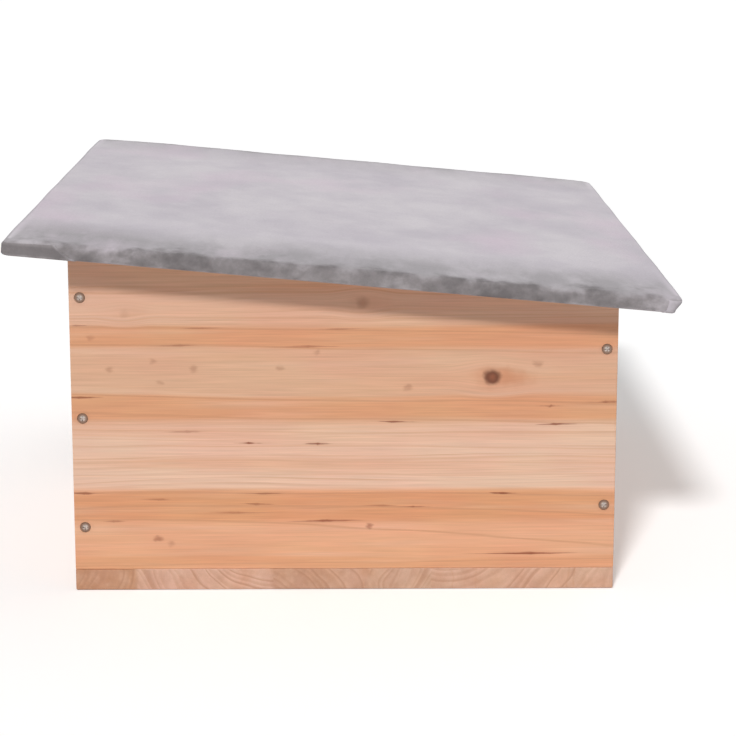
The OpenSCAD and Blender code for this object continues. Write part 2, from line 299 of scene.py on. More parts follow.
# Knots, in radii: how far and how much they bend the grain, how oval and ragged they are, and their halos'
# half lengths, half widths, shifts along the grain and strengths
KNOT_REACH_L, KNOT_REACH_A, KNOT_PULL = 6.0, 3.2, 0.72
KNOT_OVAL, KNOT_RAGGED = 0.85, 0.6
KNOT_HALOS = ((3.4, 2.3, 0.0, 0.6), (5.0, 1.8, 0.26, 1.0))
HALO_DEPTH = 0.62

# Resin: a streak longer than DASH widths is a dash with tapering tails; noise tears and frays its edges
DASH, TAIL, TAPER, STREAK_TILT, FAR = 3, 1.8, (0.7, 1, 1), 0.02, 1000.0
TORN_SIZE, DASH_TEAR, SMUDGE_TEAR, FRAY = (6.25, 4.0, 4.0), (12, 0, 0), (6, 4.5, 0), 0.5
# Sawn ends: share of their dusty colour, strength of their rings and size of their soaked patches
CUT_DUST, CUT_RINGS, SOAKED_SIZE = 0.38, 2.8, 11.0


def flow_round_knots(add, spot, knots):
    """Knots, each its place, radius and depth of colour. Near one the grain is read closer to the knot's
    own line, so that it flows round. Also gives the dark knots, their red hearts and their halos."""
    core = heart = halo = 0.0
    for along, across, radius, depth in knots:
        away = add("VectorMath SUBTRACT", spot, (along, across, 0))
        reach = (1 / (KNOT_REACH_L * radius), 1 / (KNOT_REACH_A * radius), 0)
        far = add("VectorMath LENGTH", add("VectorMath MULTIPLY", away, reach))
        pull = add("MapRange SMOOTHSTEP", far, 0, 1, KNOT_PULL, 0.0)
        moved = add("VectorMath SCALE", add("VectorMath MULTIPLY", away, (0, 1, 0)), pull)
        spot = add("VectorMath SUBTRACT", spot, moved)
        oval = add("VectorMath MULTIPLY", away, (KNOT_OVAL / radius, 1 / radius, 0))
        size = add("VectorMath LENGTH", oval)
        wobble = add("TexNoise", away, 0.8 / radius, 2)
        size = add("Math MULTIPLY_ADD", wobble, KNOT_RAGGED, size)
        dark = add("MapRange SMOOTHSTEP", size, 0.2 + 0.6 * depth, 1.4, depth, 0)
        core = add("Math MAXIMUM", core, dark)
        red = add("MapRange", size, 0.35, 0.95, 1, 0)
        heart = add("Math MAXIMUM", heart, red)
        # A round halo, and a long one that trails off along the grain
        for half_l, half_a, shift, strength in KNOT_HALOS:
            reach = (1 / (half_l * radius), 1 / (half_a * radius), 0)
            tail = add("VectorMath LENGTH", add("VectorMath MULTIPLY_ADD", away, reach, (-shift, 0, 0)))
            tail = add("Math MULTIPLY_ADD", wobble, KNOT_RAGGED, tail)
            wide = add("MapRange SMOOTHSTEP", tail, 0.35, 1.25, strength * depth, 0)
            halo = add("Math MAXIMUM", halo, wide)
    return spot, core, heart, halo


def glued_wood(add, place, span, strips):
    """Colour, pith and ring width of the panel's strips, by constant steps across it. A strip is its upper
    edge, its pith's place across and through the board and its lean, its ring width and its colour."""
    low, high = span
    step = add("MapRange", place, low, high)
    edges = [0.0] + [(strip[0] - low) / (high - low) for strip in strips[:-1]]
    piths = [
        (*(value / size + 0.5 for value, size in zip(strip[1:4], PITH_SPANS)), strip[4] / WIDEST_RING)
        for strip in strips
    ]
    coded = add("ValToRGB", step, stops=zip(edges, piths), between="CONSTANT").node.outputs
    shift = tuple(-size / 2 for size in PITH_SPANS)
    pith = add("VectorMath MULTIPLY_ADD", coded["Color"], PITH_SPANS, shift)
    ring = add("Math MULTIPLY", coded["Alpha"], WIDEST_RING)
    tones = [srgb(strip[5]) for strip in strips]
    blend = GLUE_BLEND / (high - low)
    before = [(edge - blend, tone) for edge, tone in zip(edges[1:], tones)]
    after = [(edge + blend, tone) for edge, tone in zip(edges[1:], tones[1:])]
    colour = add("ValToRGB", step, stops=sorted(before + after))
    return colour, add("SeparateXYZ", pith).node.outputs, ring


def growth_rings(add, at, pith, ring, sway):
    """Late wood on planed faces and on sawn ends: distance from the leaning pith in uneven ring widths,
    whose whole part is the year and whose rest is the season."""
    a_off = add("Math ADD", add("Math SUBTRACT", at[1], pith[0]), sway)
    t_off = add("Math MULTIPLY_ADD", at[0], pith[2], add("Math SUBTRACT", at[2], pith[1]))
    distance = add("VectorMath LENGTH", add("CombineXYZ", a_off, t_off))
    years = add("Math DIVIDE", distance, ring)
    uneven = add("TexNoise 1D", years, 0.45, 1)
    years = add("Math MULTIPLY_ADD", uneven, 2.2, years)
    season = add("Math FRACT", years)
    luck = add("TexWhiteNoise 1D", add("Math FLOOR", years))
    luck = add("MapRange", luck, 0, 1, FAINT_YEAR, STRONG_YEAR)
    made = []
    for shades in (FACE_LATE, CUT_LATE):
        greys = [(position, (shade, shade, shade, 1)) for position, shade in shades]
        late = add("ValToRGB", season, stops=greys, between="EASE")
        made.append(add("Math MULTIPLY", late, luck))
    return made


def long_lines(add, at, sway, noise, lines):
    """Late wood that runs the board's length in shallow, fading curves that sway with the grain. A line is
    its place across at the board's middle, its slope, its bend and its strength."""
    squared = add("Math MULTIPLY", at[0], at[0])
    swayed = add("Math MULTIPLY_ADD", sway, 0.3, at[1])
    shaken = add("MapRange", noise["band"], *ALL_NOISE, -LINE_SHAKE, LINE_SHAKE)
    swayed = add("Math ADD", swayed, shaken)
    on_curve = add("CombineXYZ", at[0], squared, swayed)
    drawn = 0.0
    for across, slope, bend, strength in lines:
        off = add("VectorMath DOT_PRODUCT", on_curve, (-slope, -bend, 1))
        off = add("Math ABSOLUTE", add("Math SUBTRACT", off, across))
        thin = add("MapRange SMOOTHSTEP", off, LINE_CORE, LINE_EDGE, strength, 0)
        drawn = add("Math MAXIMUM", drawn, thin)
    fading = add("MapRange", noise["thread"], 0.3, 0.6, 0.4, 1.0)
    return add("Math MULTIPLY", drawn, fading)


def warm_wood(add, at, sway, broad, bands):
    """Share of warmer wood: broad clouds, and bands, each its place across, half width and strength."""
    warm = add("MapRange", broad, 0.45, 0.75, 0, 0.4)
    for across, half, strength in bands:
        off = add("Math MULTIPLY_ADD", sway, 0.7, add("Math SUBTRACT", at[1], across))
        off = add("Math ABSOLUTE", off)
        heat = add("MapRange SMOOTHSTEP", off, 0.7 * half, 1.3 * half, strength, 0)
        warm = add("Math MAXIMUM", warm, heat)
    return warm


def resin_stain(add, spot, fibre, streaks):
    """Depth of the resin's stain. A streak is its place, half length, half width and depth of colour: a
    long one is a frayed dash with thin tails that leans a little, a short one a ragged round smudge."""
    frayed = add("MapRange", fibre, 0.2, 0.8, -FRAY, FRAY)
    ragged = add("VectorMath ADD", spot, add("CombineXYZ", 0, frayed))
    drawn = add("VectorMath MULTIPLY", spot, tuple(1 / size for size in TORN_SIZE))
    torn = add("TexNoise", drawn, 1.0, 2).node.outputs["Color"]
    torn = add("VectorMath SUBTRACT", torn, (0.5, 0.5, 0.5))
    blotchy = add("VectorMath MULTIPLY_ADD", torn, SMUDGE_TEAR, spot)
    ragged = add("VectorMath MULTIPLY_ADD", torn, DASH_TEAR, ragged)
    stain = 0.0
    for along, across, half_l, half_a, depth in streaks:
        dash = half_l > DASH * half_a
        mark = add(
            "Mapping TEXTURE", ragged if dash else blotchy, (along, across, 0),
            (0, 0, STREAK_TILT * (math.sin(5 * along) - 0.4)),
            (TAIL * half_l if dash else half_l, half_a, FAR),
        )
        if dash:
            mark = add("VectorMath POWER", add("VectorMath ABSOLUTE", mark), TAPER)
            size = add("VectorMath DOT_PRODUCT", mark, (1, 1, 0))
        else:
            size = add("VectorMath LENGTH", mark)
        dark = add("MapRange SMOOTHSTEP", size, 0.35 if dash else 0.15, 1.2, depth, 0)
        stain = add("Math MAXIMUM", stain, dark)
    return stain


def sawn_ends(add, colour, normal, board_spot, end_late):
    """Colour with its sawn ends, which soak up dust and look greyer and darker than planed faces."""
    cut = add("MapRange", add("Math ABSOLUTE", normal), 0.7, 0.95, 0, CUT_DUST)
    soaked = add("MapRange", add("TexNoise", board_spot, 1 / SOAKED_SIZE, 3), *MOST_NOISE)
    sawn = add("Mix RGBA", soaked, srgb(CUT_DARK), srgb(CUT_PALE))
    colour = add("Mix RGBA", cut, colour, sawn)
    rings = add("Math MULTIPLY", add("Math MULTIPLY", cut, end_late), CUT_RINGS)
    return add("Mix RGBA", rings, colour, srgb(CUT_RING))


def fir(name, grain, middle, span, strips, bands, streaks, knots, lines):
    """Planed bare fir in an edge-glued panel: warm and pale, with soft brown lines of late wood, fine fibre
    along the grain, small knots and short resin streaks. grain names the axes along, across and through the
    board, middle is its middle's place through it, and span its two edges across."""
    made, add, shader = surface(name)
    coords = add("TexCoord").node.outputs
    mm = add("VectorMath SCALE", coords["Object"], 1 / MM)
    axis = add("SeparateXYZ", mm).node.outputs
    along, across, through = (AXES[letter] for letter in grain)
    board_spot = add("CombineXYZ", axis[along], axis[across], axis[through])
    spot = add("VectorMath SUBTRACT", board_spot, (0, 0, middle))
    spot, core, heart, halo = flow_round_knots(add, spot, knots)
    at = add("SeparateXYZ", spot).node.outputs
    noise = {}
    for key, (length, width, detail) in GRAIN.items():
        drawn = add("VectorMath MULTIPLY", spot, (1 / length, 1 / width, 1 / width))
        noise[key] = add("TexNoise", drawn, 1.0, detail)
    sway = add("MapRange", noise["wander"], *ALL_NOISE, -SWAY, SWAY)
    colour, pith, ring = glued_wood(add, axis[across], span, strips)

    # On the faces late wood comes and goes along the grain, and wide rings are fainter than narrow ones
    late, end_late = growth_rings(add, at, pith, ring, sway)
    fading = add("MapRange", noise["band"], *MOST_NOISE, 0.2, 1.25)
    faint = add("MapRange", ring, 2.5, 6.0, 1.0, 0.4)
    for share in (fading, faint):
        late = add("Math MULTIPLY", late, share)
    late = add("Math MAXIMUM", late, long_lines(add, at, sway, noise, lines))

    # Colour: the strip's own, warmed and paled in broad bands, with late wood, fibre, streaks and knots
    warm = warm_wood(add, at, sway, noise["broad"], bands)
    colour = add("Mix RGBA", warm, colour, srgb(ORANGE))
    paled = add("MapRange", noise["band"], 0.5, 0.8, 0, 0.35)
    colour = add("Mix RGBA", paled, colour, srgb(PALE))
    hue = add("MapRange", noise["patch"], *MOST_NOISE)
    hue = add("VectorMath MULTIPLY_ADD", hue, TO_STRAW, PINKISH)
    colour = add("VectorMath MULTIPLY", colour, hue)
    colour = add("Mix RGBA", late, colour, srgb(LATE_WOOD))
    for key, dark, light in FINE_SHADES:
        shade = add("MapRange", noise[key], *ALL_NOISE, dark, light)
        colour = add("VectorMath SCALE", colour, shade)
    stain = resin_stain(add, spot, noise["fibre"], streaks)
    colour = add("Mix RGBA", stain, colour, srgb(RESIN), blend_type="MULTIPLY")
    colour = add("Mix RGBA", add("Math MULTIPLY", halo, HALO_DEPTH), colour, srgb(KNOT_HALO))
    heart = add("Mix RGBA", heart, srgb(KNOT), srgb(KNOT_HEART))
    colour = add("Mix RGBA", core, colour, heart)
    normal = add("SeparateXYZ", coords["Normal"]).node.outputs[along]
    colour = sawn_ends(add, colour, normal, board_spot, end_late)

    rough = add("MapRange", noise["fibre"], 0.2, 0.8, 0.7, 0.55)
    relief = add("Math MULTIPLY_ADD", late, -0.5, noise["fibre"])
    bump = add("Bump", 0.3, 0.15 * MM)
    wire(bump.node, {"Height": relief})
    wire(shader, {"Base Color": colour, "Roughness": rough, "Normal": bump})
    return made


# Ranges for wood drawn by lot: strips with piths, rings and warm bands, then streaks, knots and lines
STRIP_W, STRIP_SPREAD = 58, 0.14
PITH_ASIDE, PITH_DEPTH, PITH_LEAN, RING_W = (0, 70), (14, 60), (0.004, 0.03), (2.6, 6.0)
STRIP_COLOURS = [HONEY, PALE, TAN, ROSE, TAN, PALE, HONEY, ROSE]
BAND_HALF, BAND_HEAT = (3, 9), (0.3, 0.8)
STREAK_MARGINS, STREAK_HALF_L, STREAK_HALF_A, STREAK_DEPTH = (6, 4), (3, 14), (0.6, 1.1), (0.2, 0.8)
KNOT_MARGINS, KNOT_R, KNOT_DEPTH = (25, 15), (2.5, 5.5), (0.35, 0.9)
LINE_COUNT, LINE_DEPTH, LINE_SLOPE, LINE_BEND = 8, (0.2, 0.55), 0.012, 3e-5


def either_side(draw, reach, count):
    """Values within a range, on one side of nought or the other."""
    return draw.choice([-1, 1], count) * draw.uniform(*reach, count)


def glued(span, draw):
    """Strips of an edge-glued panel: about even widths, a pith somewhere near each and a fir colour, with
    bands of warmer wood."""
    low, high = span
    count = max(2, round((high - low) / STRIP_W))
    edges = np.arange(1, count + 1) + draw.uniform(-STRIP_SPREAD, STRIP_SPREAD, count)
    tops = low + (high - low) * edges / count
    tops[-1] = high + 1
    middles = np.concatenate([[low], tops[:-1]]) / 2 + tops / 2
    aside = middles + either_side(draw, PITH_ASIDE, count)
    depth = either_side(draw, PITH_DEPTH, count)
    lean = either_side(draw, PITH_LEAN, count)
    rings = draw.uniform(*RING_W, count)
    colours = draw.permutation(STRIP_COLOURS)[:count]
    bands = np.stack([draw.uniform(*reach, count) for reach in (span, BAND_HALF, BAND_HEAT)], axis=1)
    columns = (tops, aside, depth, lean, rings, colours)
    return list(zip(*(column.tolist() for column in columns))), bands.tolist()


def scattered(length, span, margins, ranges, draw, count):
    """Marks over a board: places along and across it, inside the margins, then values in the ranges."""
    places = [(low + margin, high - margin) for (low, high), margin in zip((length, span), margins)]
    return np.stack([draw.uniform(*reach, count) for reach in (*places, *ranges)], axis=1).tolist()


def strewn(length, span, draw, count, knot_count):
    """Streaks and knots strewn over a board, a few of them dark and most of them faint."""
    streak_ranges = (STREAK_HALF_L, STREAK_HALF_A, STREAK_DEPTH)
    streaks = scattered(length, span, STREAK_MARGINS, streak_ranges, draw, count)
    return streaks, scattered(length, span, KNOT_MARGINS, (KNOT_R, KNOT_DEPTH), draw, knot_count)


def ring_lines(span, draw):
    """Long lines of late wood over a board, nearly straight and of uneven strength."""
    across, strength = draw.uniform(*span, LINE_COUNT), draw.uniform(*LINE_DEPTH, LINE_COUNT)
    slope, bend = draw.normal(0, LINE_SLOPE, LINE_COUNT), draw.normal(0, LINE_BEND, LINE_COUNT)
    return np.stack([across, slope, bend, strength], axis=1).tolist()


# Needled felt: colours of its clouded face, of blush and smudges on it, and of its rolled edge and laps
CLOUD_DARK, CLOUD_PALE, BLUSH, SMUDGE = "#c9c2ca", "#d8d2d7", "#d9c6d4", "#a9a4a8"
EDGE_PALE, EDGE_DARK, LAP_DARK = "#989293", "#716c6d", "#6e696a"
# Its noise: size in millimetres and detail. Real fibres are too fine to show, so they are drawn coarser.
FELT_NOISE = {
    "clouds": ((60, 55, 60), 3), "blush": ((120, 80, 120), 2), "smudge": ((58, 24, 58), 4),
    "patches": ((30, 26, 16), 2), "tufts": ((10, 10, 7), 3), "fibres": ((1.6, 1.6, 2.4), 4),
}
TUFTED = 0.27


def grey_felt():
    """Needled wool-grey felt: a soft, dry, hairy surface. The face is a pale lavender grey with faint
    clouded patches; the rolled edges, which are handled and stretched, are darker and tufted."""
    made, add, shader = surface("needled_felt")
    place = add("TexCoord").node.outputs["Object"]
    mm = add("VectorMath SCALE", place, 1 / MM)
    noise = {}
    for key, (size, detail) in FELT_NOISE.items():
        drawn = add("VectorMath MULTIPLY", mm, tuple(1 / s for s in size))
        noise[key] = add("TexNoise", drawn, 1.0, detail, 0.6)
    clouds = add("MapRange", noise["clouds"], *MOST_NOISE)
    colour = add("Mix RGBA", clouds, srgb(CLOUD_DARK), srgb(CLOUD_PALE))
    blush = add("MapRange", noise["blush"], 0.52, 0.72, 0, 0.6)
    colour = add("Mix RGBA", blush, colour, srgb(BLUSH))

    # Smudges near the edges, then the rolled edge itself, tufted where it starts, and the laps' darker felt
    rolled = add("Attribute", attribute_name="rolled").node.outputs["Fac"]
    smudge = add("MapRange", noise["smudge"], 0.38, 0.62, 0.45, 1.0)
    smudge = add("Math MULTIPLY", smudge, add("MapRange", rolled, 0.03, 0.32))
    colour = add("Mix RGBA", smudge, colour, srgb(SMUDGE))
    tufts = add("Math MULTIPLY_ADD", noise["tufts"], 0.6, noise["patches"])
    frayed = add("MapRange", tufts, 0.5, 1.1, -TUFTED, TUFTED)
    worn = add("MapRange SMOOTHSTEP", add("Math ADD", frayed, rolled), 0.46, 0.95)
    patch = add("MapRange", tufts, 0.6, 1.0)
    edge = add("Mix RGBA", patch, srgb(EDGE_PALE), srgb(EDGE_DARK))
    lapped = add("MapRange", rolled, 1.0, 1.15, 0, 0.6)
    edge = add("Mix RGBA", lapped, edge, srgb(LAP_DARK))
    colour = add("Mix RGBA", worn, colour, edge)
    lint = add("MapRange", noise["fibres"], *ALL_NOISE, 0.94, 1.05)
    colour = add("VectorMath SCALE", colour, lint)

    bump = add("Bump", 0.6, 0.5 * MM)
    wire(bump.node, {"Height": noise["fibres"]})
    wire(shader, {
        "Base Color": colour, "Normal": bump, "Roughness": 0.95, "Specular IOR Level": 0.2,
        "Sheen Weight": 0.12, "Sheen Roughness": 0.6,
    })
    return made


# Zinc plating: its dull and bright clouds, a driven screw's face, made lighter as a painted highlight, and
# the painted shade of the screw's dark brown rim, which comes up between these distances from the head's
# middle
ZINC_DULL, ZINC_BRIGHT, HEAD_HIGHLIGHT_DULL, HEAD_HIGHLIGHT_BRIGHT, PAINTED_RIM_SHADE = "#8b8988", "#b4b2b0", "#bcb0a9", "#d2c8c1", "#8a6f5f"
RIM_SHADE_FROM, RIM_SHADE_TO = 0.9, 2.3
ZINC_CLOUD, ZINC_SCUFF = 3 * MM, 0.4 * MM


def zinc_steel(name, heads=()):
    """Zinc-plated steel with a clear passivate: a bright neutral grey with fine cloudy dulling. A head,
    given as its place in the side view, has a painted highlight on its middle and painted shade round its
    rim, which is dull and brown."""
    made, add, shader = surface(name)
    place = add("TexCoord").node.outputs["Object"]
    clouds = add("TexNoise", place, 1 / ZINC_CLOUD, 3)
    scuffs = add("TexNoise", place, 1 / ZINC_SCUFF, 2)
    colour = add("Mix RGBA", clouds, srgb(ZINC_DULL), srgb(ZINC_BRIGHT))
    if heads:
        nearest = SCREW_HEAD_D
        for y, z in heads:
            off = add("VectorMath SUBTRACT", place, (0, y * MM, z * MM))
            off = add("VectorMath LENGTH", add("VectorMath MULTIPLY", off, (0, 1 / MM, 1 / MM)))
            nearest = add("Math MINIMUM", nearest, off)
        # Painted shade round the head's rim, and a painted highlight on its middle
        rim = add("MapRange SMOOTHSTEP", nearest, RIM_SHADE_FROM, RIM_SHADE_TO)
        face = add("Mix RGBA", clouds, srgb(HEAD_HIGHLIGHT_DULL), srgb(HEAD_HIGHLIGHT_BRIGHT))
        colour = add("Mix RGBA", rim, face, srgb(PAINTED_RIM_SHADE))
    rough = add("MapRange", clouds, 0.3, 0.7, 0.4, 0.55)
    bump = add("Bump", 0.15, 0.05 * MM)
    wire(bump.node, {"Height": scuffs})
    wire(shader, {"Base Color": colour, "Roughness": rough, "Normal": bump, "Metallic": 1.0})
    return made


# Camera, light and floor

CAMERA_AT = Vector((1328.0, 2.2, 422.6)) * MM
CAMERA_PITCH, CAMERA_YAW = math.radians(9.87), math.radians(0.60)
PHOTO_W, FOCAL_PX, SENSOR, FRAME_SHIFT = 736, 1953.9, 36.0, -0.2
# Lamps: strength, width in degrees and the direction in which they stand
LAMPS = {
    "key": (2.15, 8, (0.727, -0.202, 0.656)),
    "overhead": (0.3, 100, (0.1, -0.2, 1.0)),
    "fill": (0.5, 90, (-0.5, 0.6, 0.5)),
}
# The world's light on things, the floor's tone as things see it, and its glow as the camera sees it
WORLD_LIGHT, FLOOR_TONE, FLOOR_GLOW, WHITE = 0.24, "#e6e6e6", 0.16, (1, 1, 1, 1)
FLOOR_REACH, FLOOR_DROP, FLOOR_POINTS = 30000.0, 0.3, 5


def make_camera():
    """The photo's camera: it looks along -X at the right wall, a little down, its frame shifted down."""
    data = bpy.data.cameras.new("camera")
    data.sensor_width = SENSOR
    data.lens = FOCAL_PX / PHOTO_W * SENSOR
    data.shift_y = FRAME_SHIFT
    ahead = Vector((
        -math.cos(CAMERA_PITCH) * math.cos(CAMERA_YAW),
        math.cos(CAMERA_PITCH) * math.sin(CAMERA_YAW),
        -math.sin(CAMERA_PITCH),
    ))
    made = bpy.data.objects.new("camera", data)
    turned = ahead.to_track_quat("-Z", "Y").to_matrix().to_4x4()
    made.matrix_world = Matrix.Translation(CAMERA_AT) @ turned
    bpy.context.scene.collection.objects.link(made)
    bpy.context.scene.camera = made


def seen_rays(add):
    """1 for rays from the camera and for mirrored or refracted ones, 0 for light that falls on things."""
    rays = add("LightPath").node.outputs
    seen = add("Math MAXIMUM", rays["Is Camera Ray"], rays["Is Glossy Ray"])
    return add("Math MAXIMUM", seen, rays["Is Transmission Ray"])


def make_light():
    """A key from the camera's side, above and a little to the left, a weak light from overhead, a fill from
    behind, and a world that is white to look at and pale as a light."""
    world = bpy.data.worlds.new("studio")
    bpy.context.scene.world = world
    world.use_nodes = True
    add = partial(node, world.node_tree)
    level = add("MapRange", seen_rays(add), 0, 1, WORLD_LIGHT, 1.0)
    wire(world.node_tree.nodes["Background"], {"Strength": level, "Color": WHITE})
    for name, (strength, width, towards) in LAMPS.items():
        data = bpy.data.lights.new(name, "SUN")
        data.energy = strength
        data.angle = math.radians(width)
        lamp = bpy.data.objects.new(name, data)
        lamp.rotation_mode = "QUATERNION"
        lamp.rotation_quaternion = Vector(towards).to_track_quat("Z", "Y")
        bpy.context.scene.collection.objects.link(lamp)


def make_floor():
    """White matt floor that keeps the shadow: a wide square just under the house."""
    made, add, shader = surface("white_floor")
    made.node_tree.nodes.remove(shader)
    seen = seen_rays(add)
    matt = add("BsdfDiffuse", add("Mix RGBA", seen, srgb(FLOOR_TONE), WHITE))
    glow = add("Emission", WHITE, add("MapRange", seen, 0, 1, 0, FLOOR_GLOW))
    wire(made.node_tree.nodes["Material Output"], {"Surface": add("AddShader", matt, glow)})
    side = np.linspace(-FLOOR_REACH, FLOOR_REACH, FLOOR_POINTS)
    x, y = np.meshgrid(side, side)
    points = np.stack([x, y, np.full_like(x, -FLOOR_DROP)], axis=-1).reshape(-1, 3)
    floor = new_object("floor", points, strip_quads(FLOOR_POINTS, FLOOR_POINTS).tolist())
    floor.data.materials.append(made)


# The box

# Points round the entrance's head, and how far below the roof a wall's top edge is taken to reach
ARCH_POINTS, TOP_EDGE = 41, 3.0
# The roof panel under the felt: how far its sides and ends lie in from the felt's outline, what it is
# thinner by, its rounder edges and corners, and its middle's height above the ground
PANEL_IN_X, PANEL_IN_Y, PANEL_THINNER, PANEL_EASE, PANEL_CORNER = 3.4, 4.4, 0.1, 2.8, 16.0
PANEL_MIDDLE = 198.0


def wall_outline(low, high, drop):
    """Side view of a board that stands on the floor under the sloping roof."""
    return [
        (low, FLOOR_T), (high, FLOOR_T),
        (high, under_z(high) - drop), (low, under_z(low) - drop),
    ]


def front_view(y, opening=False):
    """Front view of a wall between the side walls, with the round-headed entrance cut up from its foot."""
    half, top = INNER_W / 2, under_z(y) - ROOF_GAP
    outline = [(half, FLOOR_T), (half, top), (-half, top), (-half, FLOOR_T)]
    if opening:
        head = ENTRANCE_W / 2
        spring = FLOOR_T + ENTRANCE_H - head
        turn = np.linspace(math.pi, 0, ARCH_POINTS)
        arch = np.column_stack([ENTRANCE_X + head * np.cos(turn), spring + head * np.sin(turn)])
        outline += [(ENTRANCE_X - head, FLOOR_T), *map(tuple, arch), (ENTRANCE_X + head, FLOOR_T)]
    return outline


def rectangle(half_x, half_y):
    """Outline of a level board about the middle."""
    return [(-half_x, -half_y), (half_x, -half_y), (half_x, half_y), (-half_x, half_y)]


def side_place(x):
    """Puts a (y, z, through) board at x."""
    return lambda p: np.stack([x + p[:, 2], p[:, 0], p[:, 1]], axis=1)


def end_place(y):
    """Puts an (x, z, through) board at y, its top leaning with the roof's fall."""
    def place(p):
        fall = np.where(p[:, 1] > under_z(y) - TOP_EDGE, p[:, 2] * math.tan(PITCH), 0)
        return np.stack([p[:, 0], y + p[:, 2], p[:, 1] - fall], axis=1)
    return place


def floor_place(p):
    """Puts an (x, y, through) board on the ground."""
    return p + np.array([0, 0, FLOOR_T / 2])


def roof_place(p):
    """Puts an (x, y, through) board under the felt."""
    return on_roof(p + np.array([0, 0, (ROOF_T - PANEL_THINNER) / 2]))


def screw_rows():
    """Places of the side screws as (y, z), and of the floor and divider screws as (x, y) or (x, z)."""
    low, top = FLOOR_T + FRONT_SCREW_LOW, under_z(-END_Y) - FRONT_SCREW_TOP
    side = [
        (-END_Y, low), (-END_Y, (low + top) / 2 - FRONT_SCREW_DROP), (-END_Y, top),
        (END_Y, FLOOR_T + BACK_SCREW_LOW), (END_Y, under_z(END_Y) - BACK_SCREW_TOP),
    ]
    x, y = BOX_W / 2 - FLOOR_SCREW_INSET, BOX_D / 2 - FLOOR_SCREW_INSET
    beside = ENTRANCE_X + ENTRANCE_W / 2 + FLOOR_SCREW_GAP
    floor = [(s * SIDE_X, spot) for s in (-1, 1) for spot in (-y, 0, y)]
    floor += [(-x, END_Y), (x, END_Y), (beside, -END_Y), (x, -END_Y)]
    floor += [(DIVIDER_X, DIVIDER_Y + s * (DIVIDER_L / 2 - DIVIDER_SCREW_INSET)) for s in (-1, 1)]
    high = under_z(-INNER_D / 2) - DIVIDER_GAP - DIVIDER_SCREW_INSET
    divider = [(DIVIDER_X, FLOOR_T + DIVIDER_SCREW_INSET), (DIVIDER_X, high)]
    return side, floor, divider


# The right wall's and the floor's strips and marks, as listed
RIGHT_STRIPS = [
    (63.2, 29, -32, 0.027, 5.5, HONEY),
    (103.4, -30, 22, 0.003, 2.7, PALE),
    (164.4, 134, -40, -0.008, 6.0, TAN),
    (215.0, 262, 30, 0.003, 3.2, ROSE),
]
FLOOR_STRIPS = [
    (-126.0, -190, 20, 0.01, 4.5, "#b17851"),
    (-44.0, -40, 42, -0.012, 3.6, "#d9ae9a"),
    (14.0, -62, -34, 0.008, 4.2, "#ba8c73"),
    (52.0, 112, -48, 0.010, 3.4, "#c7a28a"),
    (170.0, 62, 40, -0.009, 4.6, "#d2a891"),
]
RIGHT_BANDS = [(157.5, 7, 0.8), (113, 7.5, 0.8), (52, 9, 0.95), (18, 4, 0.6)]
RIGHT_STREAKS = [
    (-157, 163.8, 6, 0.8, 0.5), (-85, 162, 9, 0.8, 0.35), (-2, 161.5, 12, 0.8, 0.4),
    (-99, 151.4, 10, 0.8, 0.4), (-21, 150.8, 15, 0.9, 0.5), (-157, 120, 8, 1.0, 0.7),
    (30, 104.6, 9, 0.9, 0.8), (126, 102.8, 9, 0.9, 0.85), (122, 114.1, 4, 1.2, 0.6),
    (156, 116.5, 9, 0.9, 0.7), (-94, 98.7, 9, 0.7, 0.4), (-57, 91.6, 5, 0.9, 0.9),
    (-15, 91, 6, 0.9, 0.85), (-157, 60.8, 8, 1.0, 0.65), (-49, 60.2, 9, 0.8, 0.5),
    (94, 60.2, 6, 0.9, 0.8), (-112, 56.7, 8, 0.8, 0.4), (-52, 53.7, 7, 0.9, 0.5),
    (22, 52.5, 9, 0.8, 0.4), (42, 51.9, 7, 0.9, 0.65), (-64, 48.4, 18, 0.9, 0.45),
    (-138, 43, 6, 0.8, 0.45), (-11, 43, 14, 1.0, 0.75), (15, 40.1, 3.2, 2.0, 0.55),
    (111, 22.3, 25, 1.1, 0.85), (-139, 137.2, 3.2, 2.4, 0.3), (-89, 137.2, 3.2, 2.4, 0.3),
    (-38, 137.8, 3.2, 2.4, 0.3), (-114, 141.9, 2.8, 2.2, 0.25), (-109, 128.9, 2.8, 2.2, 0.25),
    (-150, 156.7, 2.8, 2.2, 0.25), (-16, 147.2, 2.8, 2.2, 0.25), (38, 125.3, 3.2, 2.4, 0.3),
    (115, 139.6, 3.2, 2.4, 0.3), (-112, 31.8, 3.8, 2.2, 0.5), (-105, 29.4, 3.0, 1.8, 0.25),
    (104, 7.5, 2, 1, 0.6),
]
RIGHT_KNOTS = [(88, 131.9, 5.2, 0.95), (11, 177.4, 4.4, 0.32), (-130, 170.9, 3.5, 0.14)]
RIGHT_LINES = [
    (186.3, -0.008, 0, 0.4), (182.8, -0.011, 0, 0.55), (168.5, -0.003, 2e-5, 0.4),
    (161.3, -0.017, -2e-5, 0.6), (149.6, -0.013, 2e-5, 0.6), (118.2, -0.016, 0, 0.7),
    (106.0, -0.0215, 0, 0.55), (98.3, -0.008, 0, 0.3), (89.3, -0.008, 0, 0.4),
    (80.0, -0.006, -2e-5, 0.3), (72.0, -0.003, 0, 0.3), (59.9, -0.008, -1e-5, 0.6),
    (51.7, -0.017, -1e-4, 0.6), (39.8, -0.051, -1.7e-4, 0.6), (17.3, 0.011, 0, 0.4),
]
# The wood is bruised round a driven screw: half length, half width and depth of colour
BRUISE = (5.5, 5.0, 0.12)


def dress_in_fir(made, stands_for, cut, marks, body="house"):
    """Gives a board its own fir: its cut, which is the grain's axes, middle and span, and its marks."""
    wood = fir("fir_" + stands_for.removesuffix("_board"), *cut, *marks)
    dress(made, wood, body, stands_for)


